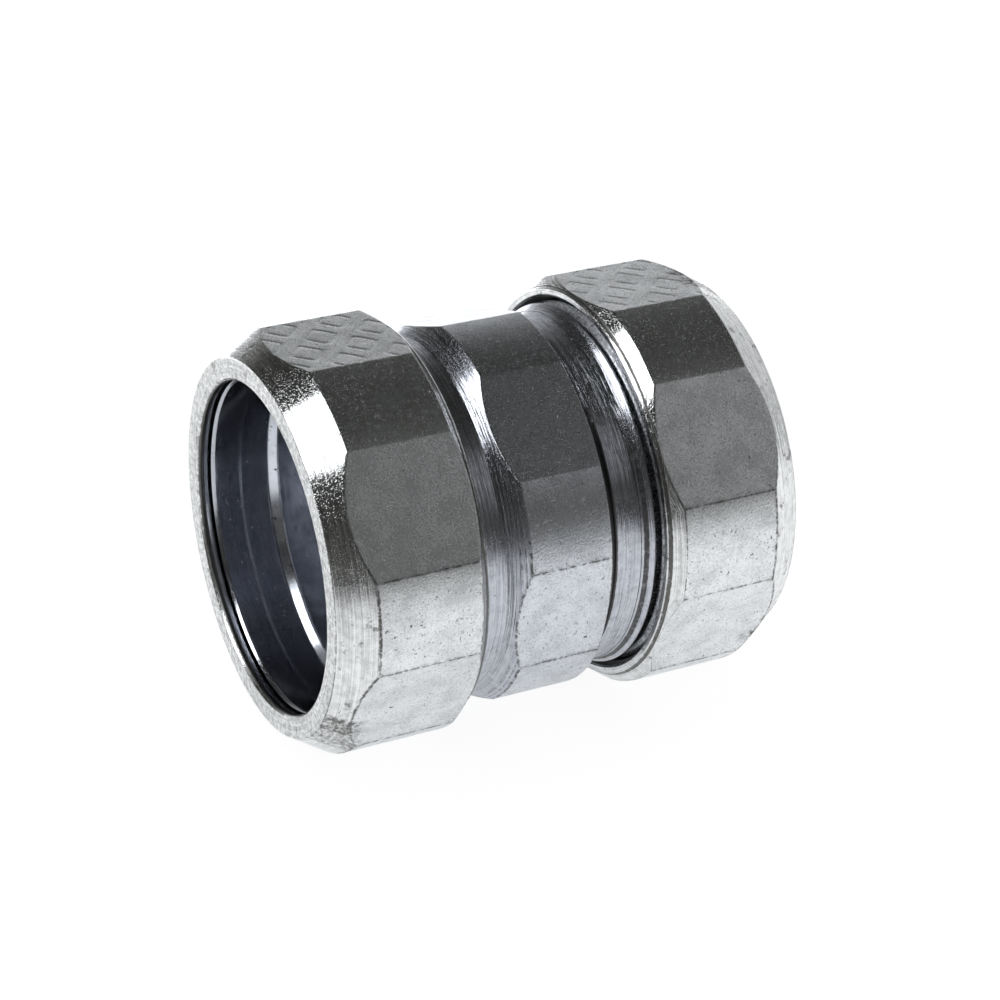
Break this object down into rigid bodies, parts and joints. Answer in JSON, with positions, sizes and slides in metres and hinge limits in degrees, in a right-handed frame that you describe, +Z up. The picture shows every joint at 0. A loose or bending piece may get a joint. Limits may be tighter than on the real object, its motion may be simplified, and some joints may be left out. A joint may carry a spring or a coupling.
{
  "type": "conduit compression coupling",
  "caption": "Zinc-plated steel compression coupling that joins two ends of thin-wall conduit, with round-cornered hexagonal gland nuts over split rings on a threaded body.",
  "frame": {"origin": "centre of the coupling on the conduit's axis", "axes": "+X along the conduit from the left nut to the right nut, +Z up out of a wrench flat of the left nut, +Y away from the viewer"},
  "size_m": [0.0586, 0.0502, 0.0484],
  "materials": {
    "body_steel": "turned steel with clear zinc plating",
    "nut_steel_left": "mill-finish flats and turned chamfers, clear zinc plating",
    "nut_steel_right": "mill-finish flats and turned chamfers, clear zinc plating",
    "ring_steel_left": "smooth zinc-plated steel",
    "ring_steel_right": "smooth zinc-plated steel"
  },
  "bodies": {
    "body": {"coupling_body": "body_steel"},
    "ring_left": {"compression_ring_left": "ring_steel_left"},
    "nut_left": {"gland_nut_left": "nut_steel_left"},
    "ring_right": {"compression_ring_right": "ring_steel_right"},
    "nut_right": {"gland_nut_right": "nut_steel_right"}
  },
  "joints": [
    {"name": "left_nut_travel", "type": "slide", "parent": "body", "child": "ring_left", "axis": [-1, 0, 0], "range_m": [-0.00083, 0.0105]},
    {"name": "left_nut_turn", "type": "hinge", "parent": "ring_left", "child": "nut_left", "pos_m": [0, 0, 0], "axis": [-1, 0, 0], "range_deg": [-150, 1890]},
    {"name": "right_nut_travel", "type": "slide", "parent": "body", "child": "ring_right", "axis": [1, 0, 0], "range_m": [-0.00083, 0.0105]},
    {"name": "right_nut_turn", "type": "hinge", "parent": "ring_right", "child": "nut_right", "pos_m": [0, 0, 0], "axis": [1, 0, 0], "range_deg": [-150, 1890]}
  ],
  "couplings": [
    {"joint": "left_nut_travel", "follows": "left_nut_turn", "m_per_rad": 0.00031831},
    {"joint": "right_nut_travel", "follows": "right_nut_turn", "m_per_rad": 0.00031831}
  ]
}
